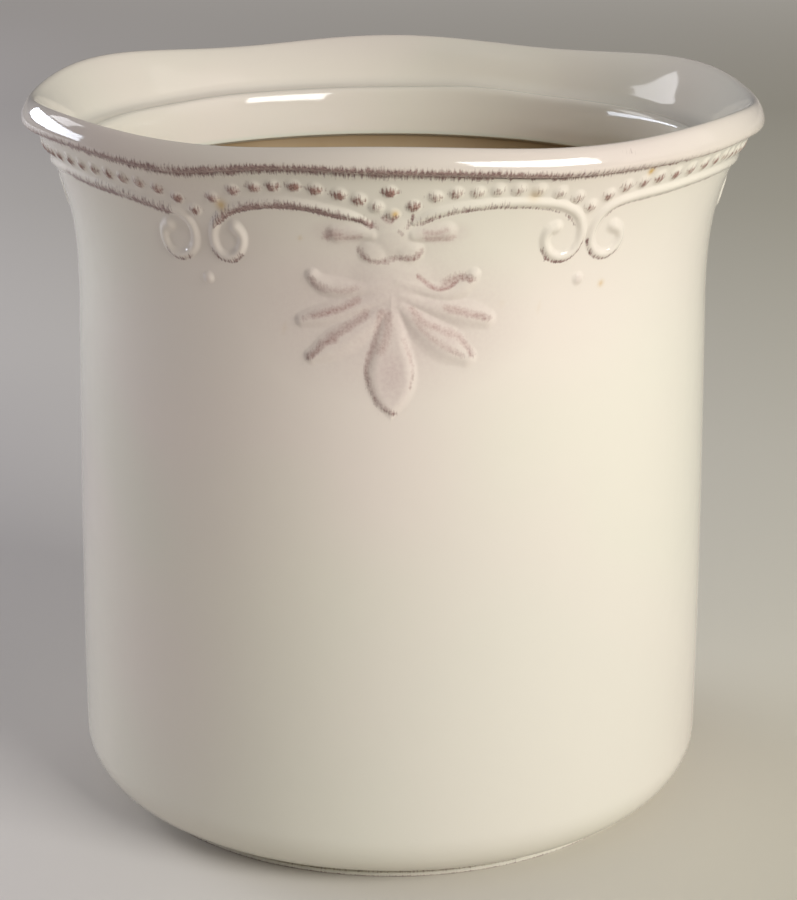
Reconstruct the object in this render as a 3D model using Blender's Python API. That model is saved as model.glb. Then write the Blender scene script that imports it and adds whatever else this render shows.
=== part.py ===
# A round glazed crock with a flared, six-lobed rim and sprigged relief under its lip.
# Metres, +Z up, standing on z = 0 about the Z axis, with its front palmette facing -Y.

import math

import bmesh
import bpy
import numpy as np

# Driving dimensions of the vessel

rim_height = 0.1822          # mean height of the lip's crest
waist_radius = 0.0792        # the wall at its narrowest
rim_reach = 0.0129           # the lip stands out this far past the waist
base_swell = 0.0020          # so does the wall just above its rounded foot corner
waist_drop = 0.0492          # the waist lies this far under the crest
wall_thickness = 0.0040      # at the waist
floor_thickness = 0.0055
corner_radius = 0.0130       # the rounded edge between wall and underside
bore_corner_radius = 0.0100  # the fillet between bore and floor
foot_height = 0.0020
foot_width = 0.0055
foot_inset = 0.0007          # from the start of the corner round to the foot's side
foot_edge = 0.0005           # small rounds on the foot ring
lip_depth = 0.0058           # the lip roll's size across the wall
lip_height = 0.0066          # the lip roll's size up the wall
groove_depth = 0.0006        # the notch between the lip roll and the wall
groove_width = 0.0008
flare_power = 2.6            # how late the wall turns outwards
shelf_drop = 0.0114          # the lid shelf lies this far under the crest
shelf_width = 0.0025
shelf_round = 0.0010
neck_height = 0.0125         # the straight collar under the lid shelf
neck_step = 0.0007           # the collar stands this far into the bore

# The rim's lobes

lobe_count = 6
lobe_rise = 0.0009           # the rim rises and falls by this much
lobe_reach = 0.0007          # and moves in and out by this much

# The sprigged relief

seat_gap = 0.0003            # between a sprig's back and the wall
palmette_panel_angle = math.radians(62.0)
bead_pitch = 0.0045
bead_radius = 0.00155
bead_height = 0.0012
bead_apex_drop = 0.0098      # the top of a bead arch, under the crest
bead_arch_rise = 0.0062      # from the junction up to the top of the arch
bead_arch_power = 0.62       # how soon the arch levels off
bead_neck_width = 0.0009     # the thin neck of clay that joins two beads
bead_neck_height = 0.0004
cord_spacing = 0.0035        # from the beads' centre line to the swag's
cord_width = 0.0027
cord_height = 0.0013
cord_end_gap = 0.0050        # from the palmette's middle to the swag's end
volute_offset = 0.0061       # from the junction to the volute's centre
volute_drop = 0.0237         # the volute's centre, under the crest
volute_half_width = 0.0038
volute_half_height = 0.0043
knob_radius = 0.0019         # the swollen end of a volute
drop_radius = 0.0016         # the small round drop under each junction
drop_height = 0.0011
drop_fall = 0.0098           # from the volute's centre down to the drop's
palmette_length = 0.0462     # from the arms' level down to the tip
palmette_half_width = 0.0208
palmette_drop = 0.0192       # the arms' level, under the crest
leaf_height = 0.0015
core_height = 0.0017
leaf_width = 0.0038
drop_leaf_width = 0.0108
drop_leaf_height = 0.0018

# Facet counts

rim_facets = 72
corner_facets = 5
flare_facets = 7
lip_facets = 8
bowl_facets = 3
bore_corner_facets = 4
bead_facets = 6
arch_steps = 10
volute_steps = 11
leaf_steps = 5

# Shapes by share: across a sprig's section, along a leaf, and over the palmette

section_shares = [(-1.0, 0.0), (-0.72, 0.62), (-0.27, 1.0), (0.27, 1.0), (0.72, 0.62), (1.0, 0.0)]
leaf_section_shares = section_shares + [(0.0, 0.0)]
bead_section_shares = [(-1.0, 0.0), (-0.55, 0.86), (0.55, 0.86), (1.0, 0.0)]
bead_station_shares = [(-0.5, 0.0), (-0.18, 1.0), (0.18, 1.0)]
bead_end_share = 0.42
dome_shares = [(1.0, 0.0), (0.74, 0.68)]
wall_height_shares = [0.25, 0.55, 0.8]
end_share = 0.30
tip_share = 0.16
volute_start_share = 0.86    # of a half turn: where the volute's round begins
volute_end_share = 2.36
volute_close_share = 0.80    # the volute's radius at its end, of that at its start
knee_share = 0.72            # how far up to the arch's first point the swag's stem stays straight
bowl_bend_share = 0.25       # the bowl inside the lip dips to this much of the shelf's drop
lip_start_share = -0.42      # the lip's roll, from and to these shares of a half turn
lip_end_share = 0.92

# Each leaf's root, the point it bends towards and its tip, as shares of half width and length
leaf_shares = [
    ((0.06, 0.200), (0.64, 0.385), (0.88, 0.212)),
    ((0.06, 0.300), (0.58, 0.445), (0.99, 0.460)),
    ((0.06, 0.400), (0.44, 0.530), (0.86, 0.660)),
]
arm_shares = ((0.08, 0.050), (0.38, -0.040), (0.66, 0.020))
collar_shares = ((-0.31, 0.080), (0.0, 0.190), (0.31, 0.080))
bulb_shares = ((0.0, -0.015), (0.0, 0.060), (0.0, 0.150))
core_shares = ((0.0, 0.100), (0.0, 0.260), (0.0, 0.420))
drop_leaf_shares = ((0.0, 0.300), (0.0, 0.66), (0.0, 0.935))
arm_width_share = 0.95
collar_width_share = 0.85
bulb_width_share = 2.3
core_width_share = 2.0

# Finish

cream = (0.80, 0.74, 0.62, 1.0)
stained_cream = (0.62, 0.50, 0.45, 1.0)
glaze_roughness = 0.18
sharp_angle = math.radians(40.0)

# Places worked out from the dimensions

rim_radius = waist_radius + rim_reach
base_radius = waist_radius + base_swell
bore_radius = waist_radius - wall_thickness
neck_radius = bore_radius - neck_step
underside_radius = base_radius - corner_radius
foot_radius = underside_radius - foot_inset
corner_top = foot_height + corner_radius
waist_height = rim_height - waist_drop
groove_height = rim_height - lip_height
groove_radius = rim_radius - lip_depth / 2
floor_height = foot_height + floor_thickness
shelf_height = rim_height - shelf_drop
neck_bottom = shelf_height - neck_height


def clear_scene():
    """Remove every object that the file opens with."""
    for thing in list(bpy.data.objects):
        bpy.data.objects.remove(thing, do_unlink=True)


def glaze(name, colour):
    """A glossy glazed ceramic finish."""
    finish = bpy.data.materials.new(name)
    finish.use_nodes = True
    shader = finish.node_tree.nodes["Principled BSDF"]
    shader.inputs["Base Color"].default_value = colour
    shader.inputs["Roughness"].default_value = glaze_roughness
    shader.inputs["Metallic"].default_value = 0.0
    return finish


def wall_radius(z):
    """The outer wall's radius at a height: a slow taper up to the waist, then the flare."""
    z = np.asarray(z, dtype=float)
    low = np.clip((z - corner_top) / (waist_height - corner_top), 0.0, 1.0)
    high = np.clip((z - waist_height) / (groove_height - waist_height), 0.0, None)
    taper = (base_radius - waist_radius) * np.cos(low * math.pi / 2)
    flare = (groove_radius - waist_radius) * high ** flare_power
    return waist_radius + taper + flare


def lobed(theta, radius, z):
    """Turn a radius and a height at an angle into a point, with the rim's lobes let in.

    The lobes fade in smoothly between the waist and the groove under the lip.
    """
    share = np.clip((z - waist_height) / (groove_height - waist_height), 0.0, 1.0)
    fade = share * share * (3 - 2 * share)
    wave = np.cos(lobe_count * theta) * fade
    reach = radius + lobe_reach * wave
    return np.stack([reach * np.sin(theta), -reach * np.cos(theta), z + lobe_rise * wave], axis=-1)


def on_wall(theta, across, z, lift):
    """A point lifted off the outer wall.

    Across is the distance round the waist from the angle theta, and z the height before the lobes.
    """
    z = np.asarray(z, dtype=float)
    step = seat_gap
    slope = (wall_radius(z + step) - wall_radius(z - step)) / (2 * step)
    size = np.sqrt(1 + slope * slope)
    return lobed(theta + across / waist_radius, wall_radius(z) + lift / size, z - lift * slope / size)


def skin(mesh, rings, first_pole=None, last_pole=None):
    """Skin a row of closed rings; each end is a fan about its pole, or one flat face."""
    rows = [[mesh.verts.new(point) for point in ring] for ring in rings]
    for lower, upper in zip(rows, rows[1:]):
        for index in range(len(lower)):
            following = (index + 1) % len(lower)
            mesh.faces.new((lower[index], lower[following], upper[following], upper[index]))
    for row, pole, turned in ((rows[0], first_pole, True), (rows[-1], last_pole, False)):
        loop = row[::-1] if turned else row
        if pole is None:
            mesh.faces.new(loop)
            continue
        centre = mesh.verts.new(pole)
        for index in range(len(loop)):
            mesh.faces.new((loop[index], loop[(index + 1) % len(loop)], centre))


def finish_object(name, mesh, material):
    """Make one named object from a bmesh, facing out and shaded smooth."""
    bmesh.ops.recalc_face_normals(mesh, faces=mesh.faces[:])
    data = bpy.data.meshes.new(name)
    mesh.to_mesh(data)
    mesh.free()
    data.shade_smooth()
    data.set_sharp_from_angle(angle=sharp_angle)
    data.materials.append(material)
    thing = bpy.data.objects.new(name, data)
    bpy.context.scene.collection.objects.link(thing)
    return thing


def arc_points(centre, half_width, half_height, start, end, count):
    """Points on an ellipse from one angle to another, as radius and height."""
    angles = np.linspace(start, end, count + 1)
    return [(centre[0] + half_width * math.cos(a), centre[1] + half_height * math.sin(a)) for a in angles]


def bowed_path(points, count):
    """Count + 1 points along the curve that a start, a point it bends towards and an end describe."""
    start, bend, end = np.array(points)
    t = np.linspace(0.0, 1.0, count + 1)[:, None]
    return (1 - t) ** 2 * start + 2 * t * (1 - t) * bend + t * t * end


def crock_profile():
    """The vessel's section: from the underside out, up the wall, over the lip and down to the floor."""
    foot_inner = foot_radius - foot_width
    points = [
        (foot_inner - foot_edge, foot_height),
        (foot_inner, foot_height - foot_edge),
        (foot_inner, foot_edge),
        (foot_inner + foot_edge, 0.0),
        (foot_radius - foot_edge, 0.0),
        (foot_radius, foot_edge),
        (foot_radius, foot_height),
    ]
    corner_centre = (underside_radius, corner_top)
    points += arc_points(corner_centre, corner_radius, corner_radius, -math.pi / 2, 0.0, corner_facets)
    for share in wall_height_shares:
        z = corner_top + (waist_height - corner_top) * share
        points.append((float(wall_radius(z)), z))
    flare_top = groove_height - groove_width
    for z in np.linspace(waist_height, flare_top, flare_facets + 1):
        points.append((float(wall_radius(z)), float(z)))
    points.append((float(wall_radius(groove_height)) - groove_depth, groove_height - groove_width / 2))
    lip_centre = (groove_radius, rim_height - lip_height / 2)
    lip_start, lip_end = math.pi * lip_start_share, math.pi * lip_end_share
    lip = arc_points(lip_centre, lip_depth / 2, lip_height / 2, lip_start, lip_end, lip_facets)
    points += lip
    bowl_end = (neck_radius + shelf_width, shelf_height)
    bowl_bend = ((lip[-1][0] + bowl_end[0]) / 2, shelf_height + shelf_drop * bowl_bend_share)
    points += [tuple(place) for place in bowed_path([lip[-1], bowl_bend, bowl_end], bowl_facets)[1:]]
    points += [
        (neck_radius + shelf_width / 2, shelf_height - shelf_round / 2),
        (neck_radius + shelf_round / 2, shelf_height - shelf_round / 2),
        (neck_radius, shelf_height - shelf_round * 1.5),
        (neck_radius, neck_bottom + neck_step),
        (bore_radius, neck_bottom),
    ]
    round_size = bore_corner_radius
    bore_centre = (bore_radius - round_size, floor_height + round_size)
    points += arc_points(bore_centre, round_size, round_size, 0.0, -math.pi / 2, bore_corner_facets)
    return points


def make_crock(material):
    """Revolve the section into the closed vessel, lobed at the rim."""
    theta = np.arange(rim_facets) * 2 * math.pi / rim_facets
    rings = [lobed(theta, radius, np.full_like(theta, z)) for radius, z in crock_profile()]
    mesh = bmesh.new()
    skin(mesh, rings, first_pole=(0.0, 0.0, foot_height), last_pole=(0.0, 0.0, floor_height))
    return finish_object("crock_body", mesh, material)


def lay_sprig(mesh, path, widths, heights, section=section_shares):
    """Loft a low round-backed strip along a path, laid out flat.

    A flat sprig's coordinates are its distance round the waist, its height and its lift.
    """
    along = np.gradient(path, axis=0)
    along /= np.linalg.norm(along, axis=1)[:, None]
    aside = np.stack([along[:, 1], -along[:, 0]], axis=-1)
    rings = []
    for place, side, width, height in zip(path, aside, widths, heights):
        rings.append([(*(place + side * (width / 2 * across)), height * up) for across, up in section])
    skin(mesh, rings)


def lay_dome(mesh, place, radius, height):
    """A low round boss, laid out flat: rings that close in on a pole."""
    angles = np.arange(bead_facets) * 2 * math.pi / bead_facets
    rings = []
    for reach, up in dome_shares:
        across = place[0] + radius * reach * np.cos(angles)
        z = place[1] + radius * reach * np.sin(angles)
        rings.append(np.stack([across, z, np.full_like(z, height * up)], axis=-1))
    skin(mesh, rings, last_pole=(*place, height))


def seat_on_wall(thing, theta):
    """Bend a sprig that was laid out flat onto the wall, its middle at the angle theta."""
    for vertex in thing.data.vertices:
        across, z, lift = vertex.co
        vertex.co = on_wall(theta, across, z, seat_gap + lift)
    return thing


def swell(t, belly):
    """A width's share along a leaf: full at its belly, and low at its root and at its tip."""
    turn = np.where(t < belly, t / belly, 1 + (t - belly) / (1 - belly)) * math.pi / 2
    low = np.where(t < belly, end_share, tip_share)
    return low + (1 - low) * np.sin(turn)


def arch_height(share, arches):
    """The beads' centre line over a panel: arches that rise steeply at their feet."""
    rise = np.abs(np.sin(math.pi * share * arches)) ** bead_arch_power
    return rim_height - bead_apex_drop - bead_arch_rise * (1 - rise)


def half_turn_copy(thing, name):
    """The same piece on the other side of the vessel, sharing its mesh."""
    twin = bpy.data.objects.new(name, thing.data)
    twin.rotation_euler.z = math.pi
    bpy.context.scene.collection.objects.link(twin)
    return twin


def make_bead_course(name, start, width, arches, material):
    """One panel's beads, from its first junction to the last bead before the next one.

    It is one string: each bead is a swelling between two thin necks.
    """
    count = round(width * waist_radius / bead_pitch / arches) * arches
    stations = []
    for index in range(count):
        stations += [(index + along, full) for along, full in bead_station_shares]
    stations[0] = (-bead_end_share, 0.0)
    stations.append((count - 1 + bead_end_share, 0.0))
    share, full = np.array(stations).T / [[count], [1.0]]
    path = np.stack([share * width * waist_radius, arch_height(np.maximum(share, 0.0), arches)], axis=-1)
    widths = bead_neck_width + (bead_radius * 2 - bead_neck_width) * full
    heights = bead_neck_height + (bead_height - bead_neck_height) * full
    mesh = bmesh.new()
    lay_sprig(mesh, path, widths, heights, bead_section_shares)
    return seat_on_wall(finish_object("bead_course_" + name, mesh, material), start)


def make_top_bead(name, theta, material):
    """The single bead over the place where a palmette panel's two arches meet."""
    mesh = bmesh.new()
    lay_dome(mesh, (0.0, rim_height - bead_apex_drop), bead_radius, bead_height)
    return seat_on_wall(finish_object("top_bead_" + name, mesh, material), theta)


def swag_line(width, arches, first, last, side):
    """The swag's centre line under one arch, as arc length from the junction and height.

    It keeps its spacing square to the beads' line, between two shares of the arch.
    """
    span = width * waist_radius / arches
    share = np.linspace(first, last, arch_steps)
    z = arch_height(share / arches, arches)
    step = seat_gap / span
    ahead = arch_height((share + step) / arches, arches)
    behind = arch_height((share - step) / arches, arches)
    slope = (ahead - behind) / (2 * step * span)
    size = np.sqrt(1 + slope * slope)
    across = share * span + cord_spacing * slope / size
    down = z - cord_spacing / size
    return np.stack([side * across, down], axis=-1)


def volute_line(side):
    """The volute's centre line: most of a turn about its centre, closing slightly."""
    turn = np.linspace(volute_start_share, volute_end_share, volute_steps)
    close = np.linspace(1.0, volute_close_share, volute_steps)
    across = volute_offset + volute_half_width * close * np.cos(math.pi * turn)
    z = rim_height - volute_drop + volute_half_height * close * np.sin(math.pi * turn)
    return np.stack([side * across, z], axis=-1)


def make_swag(name, theta, width, arches, side, double_ended, material):
    """A swag cord from its volute at one junction to the palmette, or to the next junction's volute."""
    span = width * waist_radius / arches
    first = (volute_offset - volute_half_width / 2) / span
    last = 1 - first if double_ended else 1 - cord_end_gap / span
    arch = swag_line(width, arches, first, last, side)
    volute = volute_line(side)
    arch[0] = volute[0] + knee_share * (arch[0] - volute[0])
    line = np.concatenate([volute[::-1], arch])
    if double_ended:
        far = volute_line(-side)
        far[:, 0] += side * span
        line[-1] = far[0] + knee_share * (line[-1] - far[0])
        line = np.concatenate([line, far])
    station = np.arange(len(line))
    last_station = station[-1]
    from_end = np.minimum(station, last_station - station)
    ends = end_share + (1 - end_share) * np.clip(from_end, 0, 1)
    swelling = knob_radius * 2 / cord_width - 1
    bulge = 1 + swelling * np.exp(-((station - 1) ** 2))
    if double_ended:
        bulge += swelling * np.exp(-((last_station - station - 1) ** 2))
    mesh = bmesh.new()
    lay_sprig(mesh, line, cord_width * ends * bulge, cord_height * ends)
    return seat_on_wall(finish_object("swag_" + name, mesh, material), theta)


def make_drop(name, theta, material):
    """The small round drop that hangs under a junction."""
    mesh = bmesh.new()
    lay_dome(mesh, (0.0, rim_height - volute_drop - drop_fall), drop_radius, drop_height)
    return seat_on_wall(finish_object("junction_drop_" + name, mesh, material), theta)


def palmette_place(shares, side):
    """Shares of the palmette's half width and length, as arc length and height."""
    level = rim_height - palmette_drop
    return [(side * across * palmette_half_width, level - down * palmette_length) for across, down in shares]


def make_leaf(name, shares, side, width, height, belly, material):
    """One piece of the palmette, swelling to its belly, laid out flat."""
    path = bowed_path(palmette_place(shares, side), leaf_steps)
    t = np.linspace(0.0, 1.0, leaf_steps + 1)
    fullness = swell(t, belly)
    mesh = bmesh.new()
    lay_sprig(mesh, path, width * fullness, height * fullness, leaf_section_shares)
    return finish_object(name, mesh, material)


def make_palmette(name, material):
    """The palmette under a double swag: arms, bulb, collar, core, six leaves and the long drop leaf.

    The core is the palmette's body, and a Boolean union joins each other piece to it while all lie flat.
    """
    core_width = leaf_width * core_width_share
    core = make_leaf("palmette_" + name, core_shares, 1, core_width, core_height, 0.5, material)
    pieces = [
        ("drop_leaf", drop_leaf_shares, 1, drop_leaf_width, drop_leaf_height, 0.6),
        ("collar", collar_shares, 1, leaf_width * collar_width_share, leaf_height, 0.5),
        ("bulb", bulb_shares, 1, leaf_width * bulb_width_share, leaf_height, 0.5),
    ]
    for side, hand in ((-1, "left"), (1, "right")):
        pieces.append(("arm_" + hand, arm_shares, side, leaf_width * arm_width_share, leaf_height, 0.6))
        for index, shares in enumerate(leaf_shares):
            pieces.append(("leaf_%s_%d" % (hand, index + 1), shares, side, leaf_width, leaf_height, 0.6))
    guides = []
    for part, shares, side, width, height, belly in pieces:
        guide = make_leaf("guide_" + part, shares, side, width, height, belly, material)
        union = core.modifiers.new(part, "BOOLEAN")
        union.operation = "UNION"
        union.solver = "EXACT"
        union.object = guide
        guides.append(guide)
    joined = bpy.data.meshes.new_from_object(core.evaluated_get(bpy.context.evaluated_depsgraph_get()))
    core.modifiers.clear()
    core.data = joined
    for guide in guides:
        bpy.data.objects.remove(guide, do_unlink=True)
    return seat_on_wall(core, 0.0)


def build():
    """Make the vessel, lay three panels of sprigs, and turn each one's copy to the other side."""
    clear_scene()
    make_crock(glaze("crock_glaze", cream))
    bead_finish = glaze("bead_glaze", stained_cream)
    swag_finish = glaze("swag_glaze", stained_cream)
    drop_finish = glaze("drop_glaze", cream)
    palmette_finish = glaze("palmette_glaze", stained_cream)
    half = palmette_panel_angle / 2
    side_angle = math.pi / 2 - half
    rows = [
        ("front", "back", -half, palmette_panel_angle, 2),
        ("right_front", "left_back", half, side_angle, 1),
        ("right_back", "left_front", math.pi / 2, side_angle, 1),
    ]
    for near, far, start, width, arches in rows:
        beads = make_bead_course(near, start, width, arches, bead_finish)
        half_turn_copy(beads, "bead_course_" + far)
        drop = make_drop(near, start, drop_finish)
        half_turn_copy(drop, "junction_drop_" + far)
        if arches == 1:
            swag = make_swag(near, start, width, arches, 1, True, swag_finish)
            half_turn_copy(swag, "swag_" + far)
            continue
        for side, hand, foot in ((1, "_left", start), (-1, "_right", start + width)):
            swag = make_swag(near + hand, foot, width, arches, side, False, swag_finish)
            half_turn_copy(swag, "swag_" + far + hand)
        top_bead = make_top_bead(near, start + width / 2, bead_finish)
        half_turn_copy(top_bead, "top_bead_" + far)
        palmette = make_palmette(near, palmette_finish)
        half_turn_copy(palmette, "palmette_" + far)


build()
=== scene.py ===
"""An open cream-glazed crock with a flared, lobed rim and sprigged relief brushed with brown.

Every piece is a surface worked out on a grid. Places on the wall are given as degrees round the
axis from the front palmette and millimetres of height, and everything else is in metres.
"""

import bpy
import numpy as np
from mathutils import Matrix, Vector


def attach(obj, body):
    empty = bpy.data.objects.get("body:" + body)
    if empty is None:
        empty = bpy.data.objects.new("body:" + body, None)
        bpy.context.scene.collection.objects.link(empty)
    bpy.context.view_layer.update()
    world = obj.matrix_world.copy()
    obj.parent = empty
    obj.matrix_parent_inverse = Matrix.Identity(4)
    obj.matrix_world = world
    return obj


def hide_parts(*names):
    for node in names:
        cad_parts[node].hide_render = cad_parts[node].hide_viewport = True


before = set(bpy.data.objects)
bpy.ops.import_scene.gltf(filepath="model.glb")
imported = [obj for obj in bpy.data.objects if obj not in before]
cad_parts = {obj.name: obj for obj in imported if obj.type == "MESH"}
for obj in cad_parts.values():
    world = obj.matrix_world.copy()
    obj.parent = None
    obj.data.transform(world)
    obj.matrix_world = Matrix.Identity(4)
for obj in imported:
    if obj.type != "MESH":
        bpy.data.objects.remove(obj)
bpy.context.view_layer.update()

mm = 0.001
degree = np.pi / 180

# The crock's sizes

rim_height = 182.1 * mm
waist_radius = 79.2 * mm
base_swell = 2.0 * mm
waist_height = 133.0 * mm
flare_power = 2.6
groove_depth = 0.15 * mm
groove_low = 175.2 * mm
notch_height = 0.9 * mm
shelf_height = 169.7 * mm
neck_radius = 74.5 * mm
neck_bottom = 157.0 * mm
neck_edge = 0.5 * mm
recess_height = 0.9 * mm
bore_radius = 75.6 * mm
bore_corner = 10.0 * mm
floor_height = 7.5 * mm
foot_height = 2.6 * mm
foot_outer = 69.5 * mm
foot_inner = 62.0 * mm
foot_edge = 0.5 * mm
foot_outer_edge = 0.4 * foot_edge
pole_radius = 1.0 * mm
corner_radius = 13.0 * mm
lobe_count = 6
lobe_rise = 0.9 * mm
lobe_reach = 0.7 * mm
ring_columns = 720

groove_height = 175.6 * mm
groove_radius = 89.2 * mm
sway_low = 165.0 * mm
sway_blur = 3.0 * mm
corner_top = foot_height + corner_radius
corner_centre = waist_radius + base_swell - corner_radius

# The relief's sizes

bead_radius = 1.38 * mm
bead_rise = 0.66 * mm
drop_radius = 1.3 * mm
drop_rise = 0.6 * mm
cord_width = 2.1 * mm
cord_rise = 0.68 * mm
sprig_columns = 6
sprig_row = 0.25 * mm
sprig_sink = 0.015 * mm
sprig_root = 0.6 * mm
sprig_room = 2 * mm
sprig_edge = 1.8 * mm
path_spacing = 0.5 * mm


def smooth_step(value, low, high):
    """0 below low and 1 above high, and between them t * t * (3 - 2 t) of the share t of the way."""
    t = np.clip((value - low) / (high - low), 0.0, 1.0)
    return t * t * (3 - 2 * t)


def on_wall(turn, height):
    """A place given in degrees and millimetres, as metres on the unrolled wall."""
    return np.array([turn * degree * waist_radius, height * mm])


def smooth_path(points):
    """A Catmull-Rom curve through places on the wall, read evenly, in metres on the unrolled wall."""
    points = np.asarray(points, dtype=float) * [degree * waist_radius, mm]
    knots = np.concatenate([2 * points[:1] - points[1:2], points, 2 * points[-1:] - points[-2:-1]])
    t = np.linspace(0.0, 1.0, 10, endpoint=False)[:, None]
    a, b, c, d = (knots[first:len(knots) - 3 + first, None] for first in range(4))
    square, cube = 2 * a - 5 * b + 4 * c - d, 3 * b - a - 3 * c + d
    curve = (2 * b + (c - a) * t + square * t ** 2 + cube * t ** 3) / 2
    line = np.concatenate([curve.reshape(-1, 2), points[-1:]])
    reach = np.concatenate([[0.0], np.cumsum(np.linalg.norm(np.diff(line, axis=0), axis=1))])
    even = np.linspace(0.0, reach[-1], max(2, int(round(reach[-1] / path_spacing)) + 1))
    return np.stack([np.interp(even, reach, line[:, 0]), np.interp(even, reach, line[:, 1])], axis=-1)


def wrapped(across):
    """A distance round the wall, brought to within half a turn either way."""
    turn = 2 * np.pi * waist_radius
    return (across + turn / 2) % turn - turn / 2


# The wall

def wall_radius(z):
    """A cosine taper from the base up to the waist, then a flare that grows with a power of height."""
    low = np.clip((z - corner_top) / (waist_height - corner_top), 0.0, 1.0)
    high = np.clip((z - waist_height) / (groove_height - waist_height), 0.0, None)
    taper = waist_radius + base_swell * np.cos(low * np.pi / 2)
    return taper + (groove_radius - waist_radius) * high ** flare_power


def lobe_share(z):
    """How much of the rim's waves a height takes: none at the waist, all at the groove."""
    return smooth_step(z, waist_height, groove_height)


# How far the groove strays from the waves, in millimetres, at angles over half a turn

groove_sway = [
    (-90, -0.2), (-69, -0.4), (-60, -0.3), (-51, -0.1), (-44, -0.3), (-37, -0.35), (-33, -0.3), (-30, 0.1),
    (-25, 1), (-20, 1.7), (-16, 1.95), (-11.7, 1.7), (-7, 1.05), (-2, 0.65), (6, 0.45), (12, 0.45),
    (17.5, 0.3), (23, 0.1), (35, 0.15), (41, -0.1), (47, -0.6), (54, -0.8), (65, -0.3), (90, -0.2),
]
sway_steps = np.linspace(-90.0, 90.0, 2161)[:-1]
sway_line = np.interp(sway_steps, *np.transpose(groove_sway)) * mm
sway_weights = np.exp(-(wrapped(sway_steps * degree * waist_radius) / sway_blur) ** 2)
sway_waves = np.fft.rfft(np.fft.ifftshift(sway_weights / sway_weights.sum()))
sway_line = np.fft.irfft(np.fft.rfft(sway_line) * sway_waves, len(sway_line))


def sway(theta):
    """How far the groove strays up at an angle: the listed line, blurred so that it has no kinks."""
    return np.interp((theta / degree + 90.0) % 180.0 - 90.0, sway_steps, sway_line, period=180.0)


def risen(theta, z, waves=None):
    """A height after the waves and the groove's straying, which fades over the beads and over the lip."""
    share = smooth_step(z, sway_low, groove_low) * (1 - smooth_step(z, groove_height, rim_height))
    waves = lobe_share(z) if waves is None else waves
    return z + lobe_rise * np.cos(lobe_count * theta) * waves + sway(theta) * share


def lobed(theta, radius, z, waves=None):
    """Places from radius and height, moved out and up by six cosine waves round the rim."""
    waves = lobe_share(z) if waves is None else waves
    reach = radius + lobe_reach * np.cos(lobe_count * theta) * waves
    return np.stack([reach * np.sin(theta), -reach * np.cos(theta), risen(theta, z, waves)], axis=-1)


def facing(places):
    """Unit normals of a grid of places, from the cross product of its two central differences."""
    normal = np.cross(np.gradient(places, axis=1), np.gradient(places, axis=0))
    return normal / np.linalg.norm(normal, axis=-1, keepdims=True)


def fill_mesh(name, points, directions, faces, marks):
    """A smooth mesh of points with their own normals, faces as arrays of corners, and marks as colours."""
    corners = np.concatenate([face.ravel() for face in faces])
    sizes = np.concatenate([np.full(len(face), face.shape[1]) for face in faces])
    mesh = bpy.data.meshes.new(name)
    mesh.vertices.add(len(points))
    mesh.vertices.foreach_set("co", points.astype(np.float32).ravel())
    mesh.loops.add(len(corners))
    mesh.loops.foreach_set("vertex_index", corners.astype(np.int32))
    mesh.polygons.add(len(sizes))
    mesh.polygons.foreach_set("loop_start", (np.cumsum(sizes) - sizes).astype(np.int32))
    mesh.update(calc_edges=True)
    for mark, shades in marks.items():
        colours = np.ones((len(points), 4), np.float32)
        colours[:, :3] = shades
        mesh.attributes.new(mark, "FLOAT_COLOR", "POINT").data.foreach_set("color", colours.ravel())
    mesh.shade_smooth()
    mesh.normals_split_custom_set_from_vertices(directions)
    piece = bpy.data.objects.new(name, mesh)
    bpy.context.scene.collection.objects.link(piece)
    return piece


# The relief's places, and how strongly each bead was touched by the stain brush

front_beads = [
    (-27.4, 169.2, 0.75), (-23.7, 171.5, 0.8), (-20.2, 172.6, 0.8), (-17.2, 173.2, 0.9), (-14.1, 173.5, 1),
    (-10.9, 172.9, 0.95), (-7.5, 172, 0.85), (-4.7, 170.9, 0.9), (-2.2, 169.2, 0.6), (0.2, 167.4, 0.45),
    (3.1, 169.4, 0.7), (6.2, 171.6, 0.6), (9.1, 172.4, 0.65), (12.2, 172.4, 0.6), (15.2, 172.7, 0.35),
    (18.3, 172.6, 0.45), (21.6, 172.1, 0.35), (25.1, 171, 0.4), (28.4, 169.4, 0.6), (31.3, 166.8, 0.5),
]
right_half_beads = [
    (34.1, 169.1, 0.7), (37, 170.7, 0.65), (40.2, 171.2, 0.7), (43.4, 171.6, 0.75), (47, 171.8, 0.75),
    (50.5, 172.2, 0.75), (54.1, 172.5, 0.7), (57.6, 172.8, 0.7), (61, 173, 0.7),
]
left_half_beads = [
    (-31.2, 165.6, 0.8), (-34, 168, 0.85), (-37.4, 169.6, 0.85), (-41, 170.3, 0.9),
    (-44.3, 170.7, 0.9), (-47.7, 171, 0.9), (-51.2, 171.2, 0.85), (-54.8, 171.4, 0.85), (-58.5, 171.7, 0.9),
]
front_left_swag = [
    (-3.4, 165.2), (-5.2, 166.7), (-9, 168.1), (-13, 169.2), (-16.4, 169.4), (-20, 168.8),
    (-23.4, 167.6), (-26, 165.7), (-27.8, 163.2), (-28.7, 160.5), (-28.8, 157.8), (-28, 155.7),
    (-26.4, 155), (-24.9, 156.1), (-23.9, 158.2), (-23.7, 160.4), (-24.5, 162.3),
]
front_right_swag = [
    (3.3, 165.3), (5.6, 167.3), (9, 168.6), (13.5, 169.4), (18.9, 169.3), (23.9, 168.5), (26.9, 167.3),
    (29.1, 165.4), (30.3, 163), (30.8, 160.4), (30.5, 157.8), (29.5, 156), (27.8, 155.2), (26, 155.9),
    (24.7, 157.8), (24.3, 160), (24.8, 162), (25.8, 162.5),
]
right_half_swag = [
    (36.9, 161.2), (38.3, 160), (38.9, 157.8), (38, 155.4), (36, 154.5), (34.1, 155.6), (33, 157.8),
    (32.8, 160.3), (33.3, 163.1), (34.6, 165.5), (36.8, 167), (40.5, 167.8), (46.1, 168.3), (53, 168.9),
    (60.6, 169.2),
]
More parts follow.
